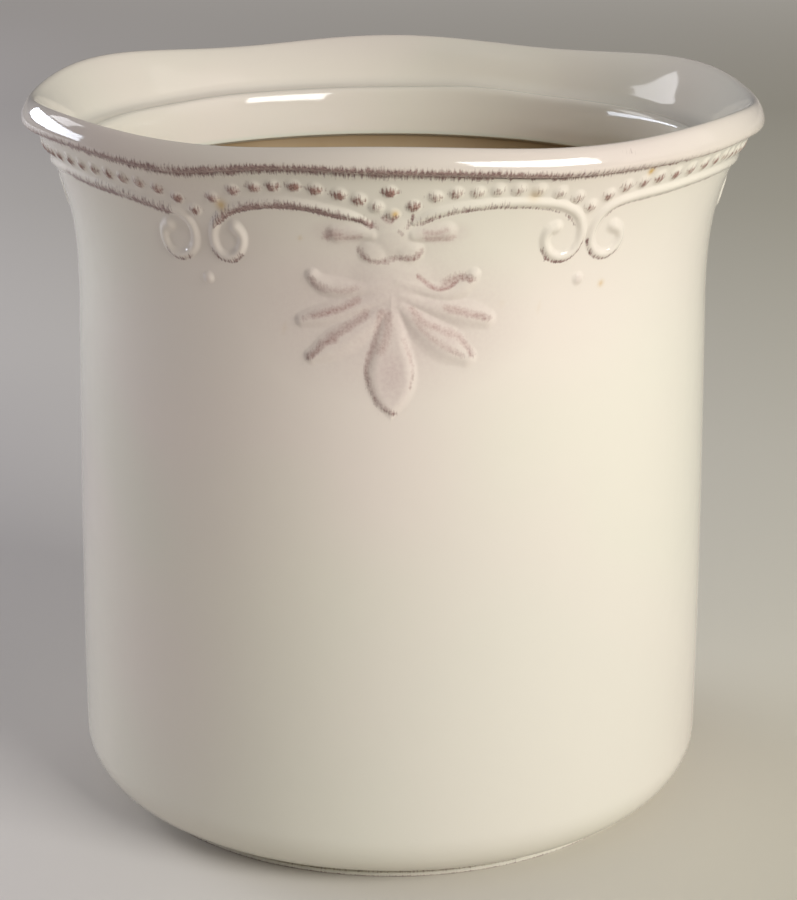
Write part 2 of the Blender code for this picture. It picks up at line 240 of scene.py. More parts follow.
left_half_swag = [
    (-37.2, 161), (-38.4, 159.6), (-38.8, 157.4), (-38, 154.9), (-36.4, 153.9), (-34.6, 154.4),
    (-33.1, 156.1), (-32.4, 158.4), (-32.4, 160.8), (-33, 162.8), (-34.4, 164.3), (-36.8, 165.2),
    (-41.2, 166.2), (-46.8, 167.1), (-54, 167.8), (-60.5, 168.1),
]
top_bead = (-0.3, 172.9, 0.95)
junction_drops = {"front": [(31.5, 149.4)], "right_front": [(90.3, 149.4)], "right_back": [(149.1, 149.4)]}
right_middle = 60.7
left_middle = -60.6
closest_mirror = 0.7


def mirrored(half, middle):
    """A half row of places carried on past the middle by its mirror image, without doubling the middle."""
    back = [(2 * middle - place[0], *place[1:]) for place in reversed(half)]
    return half + [place for place in back if abs(place[0] - middle) > closest_mirror]


def turned(places):
    """Places carried half a turn round the crock."""
    return [(place[0] + 180.0, *place[1:]) for place in places]


def with_back(rows, opposites):
    """The front half's rows, and those of the back: each is the row opposite it, half a turn round."""
    return rows | {side: turned(rows[far]) for side, far in opposites.items()}


bead_rows = with_back({
    "front": front_beads,
    "right_front": mirrored(right_half_beads, right_middle),
    "left_front": mirrored(left_half_beads, left_middle),
}, {"back": "front", "left_back": "right_front", "right_back": "left_front"})
swag_lines = with_back({
    "front_left": front_left_swag,
    "front_right": front_right_swag,
    "right_front": mirrored(right_half_swag, right_middle),
    "left_front": mirrored(left_half_swag, left_middle),
}, {"back_left": "front_left", "back_right": "front_right", "left_back": "right_front",
    "right_back": "left_front"})
drop_rows = with_back(junction_drops, {
    "back": "front", "left_back": "right_front", "left_front": "right_back",
})

# Brush strokes on the front half: how far the hairs reach in millimetres to the left of the brush's run,
# which is upwards where it runs to the right, and how far to the other side, their strength, and the
# places the brush passed

strokes = [
    (2.1, 0.6, 1, [(-27.2, 162.9), (-25.4, 165.1), (-22.2, 166.9), (-18.8, 167.8), (-15.7, 168.1),
                     (-12.7, 167.8), (-9.7, 167), (-7, 166.1)]),
    (1.7, 0.7, 0.75, [(-7, 166.3), (-4.6, 165.6), (-3, 164.5)]),
    (1.2, 0.9, 0.75, [(-1.2, 166.9), (-0.2, 165.9), (0.6, 167)]),
    (0.9, 0.7, 0.7, [(2.4, 164.4), (2.8, 165.6), (3.3, 167)]),
    (0.7, 0.7, 0.5, [(1.2, 163.6), (1.5, 163)]),
    (2, 0.4, 0.6, [(4.4, 164.9), (7, 166.5), (9.2, 167.3), (12, 167.9), (16.5, 168.3)]),
    (0.8, 0.4, 0.55, [(16.5, 168.2), (20.7, 167.8), (25, 166.4), (28, 164.4), (29.3, 162.4)]),
    (0.8, 0.4, 0.5, [(35, 163.6), (36.4, 165.5), (39.4, 166.4), (44, 166.8), (51.7, 167.5),
                     (61, 167.9)]),
    (2.6, 0.8, 0.82, [(-61, 166.8), (-52.6, 166.2), (-46, 165.7), (-40.5, 164.7), (-36.8, 163.8)]),
    (1.2, 0.5, 0.7, [(-29.3, 155.8), (-28.4, 154.4), (-26.6, 153.7), (-24.9, 154.4), (-24, 155.8)]),
    (1.2, 0.5, 0.6, [(-38.6, 154.6), (-37.2, 153), (-35.4, 152.8), (-33.6, 154)]),
    (0.8, 0.4, 0.7, [(23.8, 157.6), (24.8, 155.2), (26.6, 154.1), (28.8, 154.2), (30.4, 155.7),
                     (31.2, 158)]),
    (0.8, 0.4, 0.6, [(32.1, 158.4), (33, 155.4), (34.8, 153.7), (36.8, 153.5), (38.6, 155)]),
    (1.6, 1.2, 0.75, [(-9.8, 161.7), (-9, 162.6), (-7.9, 162.6)]),
    (1.1, 0.7, 0.55, [(-8.6, 161.6), (-6.2, 161.8), (-4.6, 162.1)]),
    (1, 0.8, 0.5, [(5, 163.3), (6.5, 163), (8.2, 163.7)]),
    (1.5, 0.8, 0.6, [(5.4, 161.6), (7.3, 161.4), (9, 161.4)]),
    (1.5, 0.7, 0.6, [(-5, 158.6), (-4.2, 157.2), (-2.6, 156.2), (-0.6, 156.2)]),
    (1.5, 0.7, 0.65, [(0.1, 156.9), (1.8, 157), (3.6, 156.9), (4.6, 158.4)]),
    (1.5, 0.8, 0.6, [(-12.9, 151.8), (-12, 149.9), (-10.4, 148.9)]),
    (1.3, 0.8, 0.5, [(-11.1, 150), (-9.2, 149.3), (-7.3, 149.1), (-5.4, 149.8)]),
    (0.9, 0.5, 1, [(4.1, 152.7), (5.3, 151.2), (6.5, 150), (7.8, 149.6), (9.2, 150.2), (10.3, 151.3)]),
    (1.6, 1, 0.7, [(8.6, 150.8), (10.2, 152), (11.6, 152), (12.4, 151.6)]),
    (1.4, 0.9, 0.8, [(-12.4, 143), (-9.5, 144.2), (-7.8, 145), (-6.5, 145.9), (-5.3, 146.9)]),
    (1.2, 0.8, 0.45, [(-14, 142.2), (-13.1, 142.8), (-11.4, 143.5)]),
    (1.4, 1, 0.7, [(8.8, 145.1), (10.2, 144.6), (11.1, 144.2), (12.3, 143.7), (14, 143),
                     (15.4, 142.4)]),
    (1.7, 1, 0.75, [(-9.6, 138), (-8.7, 138.8), (-6.9, 140.4), (-5.5, 141.8), (-4, 143.6)]),
    (1.4, 1, 0.75, [(-13.2, 133.2), (-12, 134.8), (-10.9, 136.6), (-9, 137.8)]),
    (1.2, 1, 0.6, [(3.1, 145.2), (4.1, 143.6), (5.4, 141.8), (7, 140.8), (9.4, 139)]),
    (1.3, 0.9, 0.6, [(9.4, 139.6), (11, 138), (12.4, 135.6), (13, 134)]),
    (1.2, 0.9, 0.45, [(3.6, 143), (5.6, 139.4), (8.4, 136.4), (11.4, 134)]),
    (1.2, 0.9, 0.65, [(-1.7, 144.6), (-2.2, 140.4), (-2.9, 136.7), (-3.8, 132.7), (-3.9, 129.1),
                      (-3.1, 125.6), (-1.7, 122.6), (0.3, 120.9)]),
    (1.5, 1.5, 0.6, [(-0.6, 144), (-0.5, 140.7), (-0.9, 137.7), (-1.6, 135.6)]),
    (0.8, 0.6, 0.45, [(1.9, 138), (3.1, 133.3), (3.4, 129.8), (3, 127)]),
]

# Specks of iron that bled yellow: degrees, height and radius in millimetres, and strength

specks = [
    (40.9, 173.6, 0.8, 1), (36.5, 147.4, 0.7, 0.6), (18, 145.1, 0.6, 0.5), (-26.2, 167.3, 1.3, 0.7),
    (0.5, 167.7, 0.7, 0.9), (-17.5, 140.2, 0.6, 0.35), (-20, 132, 0.6, 0.2), (24.5, 143.2, 0.5, 0.25),
    (21, 171, 1.3, 0.35), (-14, 161, 0.5, 0.3), (-58, 108, 0.5, 0.4), (12, 62, 0.5, 0.2),
    (55, 88, 0.6, 0.25),
]

# Where a film of stain was left by wiping: degrees, height, half width and half height in millimetres,
# and strength

films = [
    (0, 130.5, 5.6, 10, 0.95), (0, 144, 4.5, 6.5, 0.7), (-7.5, 140.5, 6.5, 5, 0.5),
    (8.5, 140, 6.5, 5, 0.6), (-1, 152, 9, 6, 0.6), (-7.5, 162.5, 8, 4, 0.7),
    (-1, 165, 8, 3, 0.5), (7, 162.5, 8, 4, 0.7), (-9, 151, 5.5, 3, 0.5),
    (9, 151, 5.5, 3, 0.5), (12, 144, 5, 2.5, 0.5), (31.6, 149.4, 1.6, 1.6, 0.5),
    (-30.9, 149.2, 1.6, 1.6, 0.4), (27.5, 160, 5, 5, 0.15), (-14, 172, 16, 3, 0.2),
    (0, 143, 34, 20, 0.72), (0, 160, 24, 9, 0.5), (-30, 170.5, 62, 8, 0.4),
    (-9, 137, 3.5, 3.5, 0.5), (9, 137.5, 4.5, 4, 0.75), (12.5, 143.5, 4, 1.8, 0.6),
]

# A brush's dab on a bead, in millimetres: how far its middle lies below the bead's, and its half sizes

dab_drop = 0.45
dab_half_width = 1.9
dab_half_height = 1.5


def nearest(across, up, path, *values):
    """Each cell's distance to a path, the side of it the cell lies on, and values at the nearest point.

    The nearest point of a straight stretch is the foot of the perpendicular, kept between its two
    ends. The side is positive on the left of the path's run.
    """
    best = np.full(across.shape, np.inf)
    side = np.zeros(across.shape)
    read = [np.zeros(across.shape) for _ in values]
    for index, (start, run) in enumerate(zip(path[:-1], np.diff(path, axis=0))):
        east, north = wrapped(across - start[0]), up - start[1]
        t = np.clip((east * run[0] + north * run[1]) / (run @ run), 0.0, 1.0)
        gap = np.hypot(east - t * run[0], north - t * run[1])
        closer = gap < best
        best = np.where(closer, gap, best)
        side = np.where(closer, np.sign(run[0] * north - run[1] * east), side)
        read = [np.where(closer, value[index] + t * (value[index + 1] - value[index]), kept)
                for value, kept in zip(values, read)]
    return best, side, read


def near_window(across, up, path, margin):
    """The rows and columns of a grid that come within a margin of a path."""
    middle = path.mean(axis=0)
    reach = np.abs(path - middle).max(axis=0) + margin
    columns = np.nonzero(np.abs(wrapped(across[0] - middle[0])) < reach[0])[0]
    rows = np.nonzero(np.abs(up - middle[1]).min(axis=1) < reach[1])[0]
    return np.ix_(rows, columns)


def brushed(across, up):
    """Three marks for each cell of a grid of the unrolled wall: the stain's cover, its film and the specks.

    A stroke's cover is strength * (1.2 - gap / reach), reach being the hairs' on that side of its
    line. A dab's is strength * (1.4 - r), r being 1 at its half width and half height and growing
    1.4 times as fast below its middle. Where they cross, the stronger one counts. Films and specks
    are strength * exp(-r * r).
    """
    cover, film, speck = (np.zeros(across.shape) for _ in range(3))

    def spot(turn, height, half_width, half_height):
        centre = on_wall(turn, height)
        window = near_window(across, up, centre[None, :], 2.2 * max(half_width, half_height) * mm)
        east, north = wrapped(across[window] - centre[0]), up[window] - centre[1]
        return window, np.hypot(east / (half_width * mm), north / (half_height * mm)), north

    for half in (0.0, 180.0):
        for left, right, strength, places in strokes:
            path = smooth_path([(turn + half, height) for turn, height in places])
            window = near_window(across, up, path, 1.3 * left * mm)
            if not cover[window].size:
                continue
            gap, side, _ = nearest(across[window], up[window], path)
            reach = np.where(side > 0, left, right) * mm
            cover[window] = np.maximum(cover[window], strength * np.clip(1.2 - gap / reach, 0.0, 1.0))
        for turn, height, half_width, half_height, strength in films:
            window, spread, _ = spot(turn + half, height, half_width, half_height)
            film[window] = np.maximum(film[window], strength * np.exp(-spread ** 2))
        for turn, height, radius, strength in specks:
            window, spread, _ = spot(turn + half, height, radius, radius)
            speck[window] = np.maximum(speck[window], strength * np.exp(-spread ** 2))
    for row in (*bead_rows.values(), [top_bead], turned([top_bead])):
        for turn, height, strength in row:
            window, spread, north = spot(turn, height - dab_drop, dab_half_width, dab_half_height)
            spread = np.where(north < 0, spread * 1.4, spread)
            cover[window] = np.maximum(cover[window], strength * np.clip(1.4 - spread, 0.0, 1.0))
    return np.stack([cover, film, speck], axis=-1)


# The palmette's parts: places along each leaf and its widths in millimetres at even steps from its root,
# places along each arm, and the drop leaf's heights and half widths

palmette_leaves = [
    [(-1, 151.2), (-4.5, 149.9), (-7.6, 149.6), (-10, 150), (-11.7, 151.2), (-12.5, 152.4)],
    [(1, 151.6), (4.6, 149.9), (7.8, 148.7), (10.3, 149.2), (12.1, 151), (12.9, 152.6)],
    [(-1, 148.2), (-4.6, 146.2), (-9, 144), (-12.3, 142.6), (-14.4, 141.8)],
    [(1.5, 148.3), (5.3, 146.3), (10.2, 144.2), (13.5, 143), (15.3, 142.2)],
    [(-1.3, 144.8), (-4.5, 141), (-8.6, 137.1), (-11.2, 134.8), (-12.8, 133.6)],
    [(1.6, 145.8), (4.9, 141.4), (7.9, 137.7), (10.3, 135.3), (12.1, 133.7)],
]
leaf_widths = [
    [2.4, 3.2, 3.8, 4.2, 4.1, 3],
    [2.4, 3.2, 3.7, 4.2, 4.1, 3],
    [2.6, 3.4, 4.1, 4.4, 4.2, 3],
    [2.6, 3.5, 4.6, 5.2, 5.2, 3.9],
    [3, 4.4, 5.6, 6, 5.2, 3.3],
    [3.2, 5, 6.2, 6.8, 6.2, 4.1],
]
palmette_arms = [
    [(-3, 162.6), (-5, 163), (-6.8, 163), (-8.2, 162.6)],
    [(3.4, 162.4), (5.2, 162.8), (6.8, 163.1), (8.2, 163.3)],
]
drop_leaf = [
    (148.5, 0.2), (145.5, 1), (142, 1.8), (138.5, 2.5), (135, 3.5), (132, 4.3), (129, 4.5),
    (126, 3.8), (123.6, 2.6), (121.8, 1.2), (121, 0.2),
]
leaf_rise = 0.76 * mm
leaf_full_width = 4.6 * mm
arm_rise = 0.7 * mm
drop_leaf_rise = 0.85 * mm

# Its round forms, the urn's two scallops, its body and the leaves' boss: degrees, height, half width, half
# height and rise in millimetres, the power, and the room kept round it in half sizes

palmette_swells = [
    (-2.8, 158.4, 2.9, 2.9, 0.7, 3.2, 2.2), (2.6, 158.6, 2.9, 2.9, 0.7, 3.2, 2.2),
    (0, 161.6, 4.6, 4.4, 0.7, 3, 1.8), (0, 150, 7.5, 7.5, 0.74, 3, 1.8),
]


class Sprig:
    """One sprig of clay as a height over the wall: its forms melt into each other under the glaze.

    Heights blend as the fourth root of the sum of their fourth powers.
    """

    def __init__(self):
        self.forms = []
        self.low = np.full(2, np.inf)
        self.high = np.full(2, -np.inf)

    def keep(self, form, path, margin):
        """Note a form and the room it takes."""
        self.forms.append(form)
        self.low = np.minimum(self.low, path.min(axis=0) - margin)
        self.high = np.maximum(self.high, path.max(axis=0) + margin)

    def cord(self, path, widths, rises, power):
        """A cord: rise * exp(-(distance / half width) ** power)."""
        def form(across, up):
            gap, _, (width, rise) = nearest(across, up, path, widths, rises)
            return rise * np.exp(-(gap / (width / 2)) ** power)
        self.keep(form, path, 2.0 * widths.max())

    def mound(self, place, radii, rise, power=2.5, room=2.2):
        """A round swell: rise * exp(-r ** power), r being 1 at its half width and half height."""
        centre = on_wall(*place)

        def form(across, up):
            east, north = wrapped(across - centre[0]) / radii[0], (up - centre[1]) / radii[1]
            return rise * np.exp(-np.hypot(east, north) ** power)
        self.keep(form, centre[None, :], room * max(radii))

    def upright(self, turn, outline, rise, power, dish):
        """A form that stands upright with a half width at each height.

        Its height is rise * exp(-(q / 1.35) ** power): q is 0 inside, grows to 1 at the half width
        over the sprig's edge and goes on growing outside. Its face is lowered by dish * (1 - s ** 3)
        of that, s being 0 on its middle line and 1 at the half width.
        """
        line = smooth_path([(half, height) for height, half in outline]) / [degree * waist_radius / mm, 1.0]
        heights, halves = line[::-1, 1], line[::-1, 0]
        centre = turn * degree * waist_radius
        room = np.array([[centre - halves.max(), heights[0]], [centre + halves.max(), heights[-1]]])

        def form(across, up):
            east = np.abs(wrapped(across - centre))
            half = np.interp(up, heights, halves)
            past = np.maximum(0.0, np.maximum(heights[0] - up, up - heights[-1]))
            q = np.clip(1 + (east - half) / sprig_edge, 0.0, None) + past / sprig_edge
            share = np.clip(east / np.maximum(half, 1.0 * mm), 0.0, 1.0)
            return rise * (1 - dish * (1 - share ** 3)) * np.exp(-(q / 1.35) ** power)
        self.keep(form, room, 2 * sprig_edge)

    def height(self, across, up):
        """The blended height of all the forms."""
        return sum(np.clip(form(across, up), 0.0, None) ** 4 for form in self.forms) ** 0.25


def build_sprig(name, sprig):
    """A closed skin over the cells that the sprig covers: its face, its root in the wall, and its edge.

    The face stands on the wall along the wall's own normal by the sprig's height less the sink, so
    that its edge dips under the wall's glaze. Below ten sinks its normals turn into the wall's.
    """
    ends = np.array([sprig.low[0], sprig.high[0]]) / waist_radius / degree * sprig_columns
    turns = np.arange(np.floor(ends[0]), np.ceil(ends[1]) + 1) / sprig_columns * degree
    top = min(sprig.high[1] + sprig_room, groove_low - 0.1 * mm)
    rows = np.arange(sprig.low[1] - lobe_rise - sprig_room, top, sprig_row)
    theta, z = np.meshgrid(turns, rows)
    across, up = theta * waist_radius, risen(theta, z)
    height = sprig.height(across, up)
    base = lobed(theta, wall_radius(z), z)
    outward = facing(base)
    face = base + outward * (height - sprig_sink)[..., None]
    share = smooth_step(height, sprig_sink, 10 * sprig_sink)[..., None]
    directions = outward + share * (facing(face) - outward)
    directions /= np.linalg.norm(directions, axis=-1, keepdims=True)
    root = base - outward * sprig_root

    tall = height > 0.6 * sprig_sink
    cells = tall[:-1, :-1] | tall[:-1, 1:] | tall[1:, :-1] | tall[1:, 1:]
    size = theta.size
    index = np.arange(size).reshape(theta.shape)
    south_west, south_east = index[:-1, :-1], index[:-1, 1:]
    north_west, north_east = index[1:, :-1], index[1:, 1:]
    faces = [np.stack([south_west, south_east, north_east, north_west], axis=-1)[cells]]
    faces.append(faces[0][:, ::-1] + size)
    room = np.pad(cells, 1)
    for row, column, start, end in ((0, 1, south_west, south_east), (1, 2, south_east, north_east),
                                    (2, 1, north_east, north_west), (1, 0, north_west, south_west)):
        edge = cells & ~room[row:row + cells.shape[0], column:column + cells.shape[1]]
        faces.append(np.stack([end[edge], start[edge], start[edge] + size, end[edge] + size], axis=-1))

    used, corners = np.unique(np.concatenate(faces), return_inverse=True)
    points = np.concatenate([face.reshape(-1, 3), root.reshape(-1, 3)])[used]
    normals = np.concatenate([directions.reshape(-1, 3), -outward.reshape(-1, 3)])[used]
    shades = np.concatenate([brushed(across, up).reshape(-1, 3)] * 2)[used]
    return fill_mesh(name, points, normals, [corners.reshape(-1, 4)], {"stain": shades})


def bead_sprig(row):
    """A row of beads. A sine of a bead's number and angle makes it up to 6% larger or smaller."""
    sprig = Sprig()
    for number, (turn, height, _) in enumerate(row):
        radius = bead_radius * (1 + 0.06 * np.sin(2.7 * number + turn))
        sprig.mound((turn, height), (radius, radius), bead_rise, power=2.3)
    return sprig


def swag_sprig(line, whole):
    """A swag's cord: it swells from its start, or from both knobs of a whole garland, along its run."""
    sprig = Sprig()
    path = smooth_path(line)
    reach = np.linspace(0.0, 1.0, len(path))
    if whole:
        reach = 1 - np.abs(2 * reach - 1)
        knob = 1 - smooth_step(reach, 0.0, 0.07)
        start = np.ones_like(reach)
    else:
        knob = smooth_step(reach, 0.93, 1.0)
        start = smooth_step(reach, 0.0, 0.1)
    widths = cord_width * (0.7 + 0.3 * start + 0.35 * knob)
    sprig.cord(path, widths, cord_rise * (0.55 + 0.45 * start + 0.2 * knob), power=2.2)
    return sprig


def palmette_sprig(turn):
    """The palmette: six leaves, the long drop leaf, the boss they spring from, the urn and its arms.

    A leaf's rise grows with the square root of its width.
    """
    sprig = Sprig()

    def laid(places):
        return smooth_path([(place[0] + turn, place[1]) for place in places])

    for leaf, widths in zip(palmette_leaves, leaf_widths):
        path = laid(leaf)
        widths = np.interp(np.linspace(0, 1, len(path)), np.linspace(0, 1, len(widths)), widths) * mm
        sprig.cord(path, widths, leaf_rise * np.sqrt(widths / leaf_full_width), power=2.5)
    for arm in palmette_arms:
        path = laid(arm)
        sprig.cord(path, np.linspace(3.2, 3.8, len(path)) * mm, np.full(len(path), arm_rise), power=2.4)
    for east, height, half_width, half_height, rise, power, room in palmette_swells:
        sprig.mound((east + turn, height), (half_width * mm, half_height * mm), rise * mm, power, room)
    sprig.upright(turn, drop_leaf, drop_leaf_rise, power=2.4, dish=0.12)
    return sprig


def mound_sprig(place, radius, rise):
    """A single bead or drop."""
    sprig = Sprig()
    sprig.mound(place, (radius, radius), rise)
    return sprig


# The crock's two turned pieces

def arc(centre, radius, start, end, steps):
    """Points of a circle's arc between two angles, both ends included."""
    angle = np.linspace(start, end, steps)
    return np.stack([centre[0] + radius * np.cos(angle), centre[1] + radius * np.sin(angle)], axis=-1)


def straight(start, end, steps):
    """Points of a straight run, without its first."""
    return np.linspace(start, end, steps + 1)[1:]


def bent(start, bend, end, steps):
    """Points of a quadratic curve that leans towards its bend, without its first."""
    t = np.linspace(0.0, 1.0, steps + 1)[1:, None]
    return (1 - t) ** 2 * np.array(start) + 2 * t * (1 - t) * np.array(bend) + t ** 2 * np.array(end)


# The foot ring's face and the crease above it, as radii and heights in millimetres

foot_step = [
    (69.5, 0.45), (69.5, 0.85), (69.44, 1.0), (69.2, 1.08), (68.7, 1.12), (68.2, 1.25), (67.95, 1.6),
    (67.9, 2.1), (68.0, 2.45),
]

# The wall's rows: the height where each stretch ends, and its number of rows

wall_rows = [(118.0 * mm, 15), (146.0 * mm, 13), (174.0 * mm, 55), (groove_low, 8)]


def wall_line():
    """The outside from the middle of the underside over the foot and the wall up to the groove."""
    underside = np.linspace([pole_radius, foot_height], [foot_inner - foot_edge, foot_height], 5)
    inner = arc((foot_inner - foot_edge, foot_height - foot_edge), foot_edge, np.pi / 2, 0, 4)[1:]
    tread = arc((foot_inner + foot_edge, foot_edge), foot_edge, np.pi, np.pi * 1.5, 5)
    outer = arc((foot_outer - foot_outer_edge, foot_outer_edge), foot_outer_edge, -np.pi / 2, 0, 5)
    corner = arc((corner_centre, corner_top), corner_radius, -np.pi / 2, 0, 16)
    stretches, low = [], corner_top
    for high, count in wall_rows:
        stretches.append(straight(low, high, count))
        low = high
    heights = np.concatenate(stretches)
    notch = groove_depth * smooth_step(heights, groove_low - notch_height, groove_low)
    wall = np.stack([wall_radius(heights) - notch, heights], axis=-1)
    return np.concatenate([underside, inner, tread, outer, np.array(foot_step) * mm, corner, wall])


# The lip's section from the groove over its widest and its crest to the bowl, as radii and heights in
# millimetres

lip_section = [
    (89.0, 175.3), (90.4, 175.55), (91.4, 176.1), (91.88, 176.9), (91.92, 177.7), (91.72, 178.7),
    (91.36, 179.7), (90.85, 180.7), (90.2, 181.55), (89.4, 182.0), (88.4, 181.55), (87.1, 180.2),
]

# The curves that follow it: the point each leans to, its end, and its steps. They are the bowl, the cove,
# the shelf, its turn down and the neck

inside_curves = [
    ((84.6, 177.2), (82.3, 172.4), 12),
    ((81.3, 170.3), (79.3, 169.8), 10),
    ((78.3, 169.55), (77.4, 169.7), 6),
    ((76.25, 169.85), (75.8, 168.2), 9),
    ((75.06, 165.5), (74.5, 157.5), 16),
]


def inside_line():
    """From the groove over the lip, down the bowl, shelf, neck and bore to the floor's middle."""
    groove_end = np.array([[wall_radius(groove_low) - groove_depth, groove_low]])
    line = [groove_end, smooth_path(lip_section) / [degree * waist_radius / mm, 1.0]]
    for bend, end, steps in inside_curves:
        line.append(bent(line[-1][-1], np.array(bend) * mm, np.array(end) * mm, steps))
    edge = arc((neck_radius + neck_edge, neck_bottom + neck_edge), neck_edge, np.pi, np.pi * 1.5, 5)[1:]
    bore_top = (bore_radius, neck_bottom - recess_height)
    recess = bent((neck_radius + neck_edge, neck_bottom), (bore_radius, neck_bottom), bore_top, 4)
    bore = straight(bore_top, (bore_radius, floor_height + bore_corner), 12)
    centre = (bore_radius - bore_corner, floor_height + bore_corner)
    corner = arc(centre, bore_corner, 0, -np.pi / 2, 10)[1:]
    floor = straight((bore_radius - bore_corner, floor_height), (pole_radius, floor_height), 5)
    return np.concatenate([*line, edge, recess, bore, corner, floor])


def inside_waves(line):
    """How much of the rim's waves each row takes: all on the lip, fading down the bowl to the shelf."""
    height = line[:, 1]
    inner = np.arange(len(line)) > np.argmax(height)
    return np.where(inner, smooth_step(height, shelf_height, rim_height - 1.0 * mm), lobe_share(height))


def turn_piece(name, line, pole, marks, waves):
    """A piece turned from a line of radii and heights, with the rim's waves, its middle closed by a fan.

    The pole is the row next to the middle, 0 or -1. Marks are worked out from angles and places.
    """
    turns = np.arange(ring_columns) / ring_columns * 2 * np.pi - np.pi
    theta, radius = np.meshgrid(turns, line[:, 0])
    places = lobed(theta, radius, np.broadcast_to(line[:, 1:], theta.shape), waves[:, None])
    normals = facing(np.concatenate([places[:, -1:], places, places[:, :1]], axis=1))[:, 1:-1]
    index = np.arange(theta.size).reshape(theta.shape)
    east = np.roll(index, -1, axis=1)
    ring = (east[0], index[0]) if pole == 0 else (index[-1], east[-1])
    faces = [np.stack([index[:-1], east[:-1], east[1:], index[1:]], axis=-1).reshape(-1, 4),
             np.stack([*ring, np.full(ring_columns, index.size)], axis=-1)]
    points = np.concatenate([places.reshape(-1, 3), [[0.0, 0.0, line[pole, 1]]]])
    directions = np.concatenate([normals.reshape(-1, 3), [[0.0, 0.0, 1.0 if pole else -1.0]]])
    shades = {mark: np.concatenate([shade.reshape(-1, 3), shade[pole, :1]])
              for mark, shade in marks(theta, places).items()}
    return fill_mesh(name, points, directions, faces, shades)


# How strongly the groove was stained, at angles round the rim

groove_stain = [
    (-180, 0.7), (-140, 0.5), (-100, 0.6), (-60, 0.95), (-20, 1), (0, 1), (20, 0.9), (30, 0.65),
    (42, 0.55), (60, 0.55), (90, 0.5), (130, 0.9), (180, 0.7),
]

# Darkening at the foot, as heights and half heights in millimetres and strengths: in the ring's crease,
# partly stain and partly painted shade, and a painted contact shadow where it meets the table

foot_stain_and_shade = [(1.45, 0.4, 0.85), (0.05, 0.3, 0.75)]

# A smudge on the lip: its angle and height, its half width and half height in millimetres, and its strength

lip_smudge = (34.5, 179.3, 2.0, 0.8, 0.42)


def stain_force(theta):
    """How strongly the groove was stained, straight between the angles listed."""
    return np.interp(theta / degree, *np.transpose(groove_stain))


def wall_marks(theta, places):
    """The wall's marks: the brush work, with a stained line under the groove, and at the foot stain and
    painted shade.

    The line fades over 0.5 mm and 1.1 mm times the groove's stain. The foot's marks are strength * exp(-r *
    r), r being 1 at the half height: in the ring's crease they are partly stain and partly painted shade, and
    where the ring meets the table a painted contact shadow.
    """
    up = places[..., 2]
    marks = brushed(theta * waist_radius, up)
    reach = (0.5 + 1.1 * stain_force(theta)) * mm
    line = 0.9 * np.clip(1.0 - (risen(theta, groove_low) - up) / reach, 0.0, 1.0)
    # At the foot: partly stain, partly painted shade in the ring's crease, and a painted contact shadow where
    # it meets the table
    crease = sum(strength * np.exp(-((up - height * mm) / (half_height * mm)) ** 2)
                 for height, half_height, strength in foot_stain_and_shade)
    marks[..., 0] = np.maximum(marks[..., 0], np.maximum(line, crease))
    return {"stain": marks}


def lip_marks(theta, places):
    """The lip's stain, which climbs out of the groove in short strokes, and the brown below the neck: partly
    bare clay, partly painted shade.

    The stain's cover falls with the distance along the lip's section: it fades over 1.7 mm that end 3.4 mm
    and 1.4 mm times the groove's stain from the groove. The clay's marks are where the inside below the neck
    is brown, partly bare clay and partly painted shade; how near the neck's sharp edge a place is, above it
    for the thick glaze and below it for a painted shadow under the edge; and the outside of the lip, which
    blushes.
    """
    steps = np.linalg.norm(np.diff(places[:, :1], axis=0), axis=-1)
    reach = np.broadcast_to(np.concatenate([[[0.0]], np.cumsum(steps, axis=0)]), theta.shape)
    force = stain_force(theta)
    cover = force * np.clip(((3.4 + 1.4 * force) * mm - reach) / (1.7 * mm), 0.0, 1.0)
    height = places[..., 2]
    outer = 1 - smooth_step(reach, 8.0 * mm, 11.0 * mm)
    turn, middle, half_width, half_height, strength = lip_smudge
    east = (theta - turn * degree) * groove_radius / (half_width * mm)
    north = (height - middle * mm) / (half_height * mm)
    cover = np.maximum(cover, strength * np.exp(-(east ** 2 + north ** 2)) * outer)
    # The brown below the neck: partly bare clay, partly painted shade of the inside under the neck
    bare = 1 - smooth_step(height, neck_bottom - 0.6 * mm, neck_bottom + 0.1 * mm)
    above = np.exp(-((height - neck_bottom - neck_edge) / (0.6 * mm)) ** 2)
    # Right under the neck's edge: a painted shadow, fading over 1.7 mm downwards
    below = np.exp(-((neck_bottom - height) / (1.7 * mm)) ** 2)
    edge = np.where(height > neck_bottom, above, below)
    nothing = np.zeros_like(cover)
    stain = np.stack([cover, nothing, nothing], axis=-1)
    return {"stain": stain, "clay": np.stack([bare, edge, outer], axis=-1)}


# Materials

def srgb(red, green, blue):
    """A colour as a screen shows it, 0 to 255, as the linear colour a shader takes."""
    seen = np.array([red, green, blue]) / 255
    linear = np.where(seen <= 0.04045, seen / 12.92, ((seen + 0.055) / 1.055) ** 2.4)
    return (*linear, 1.0)


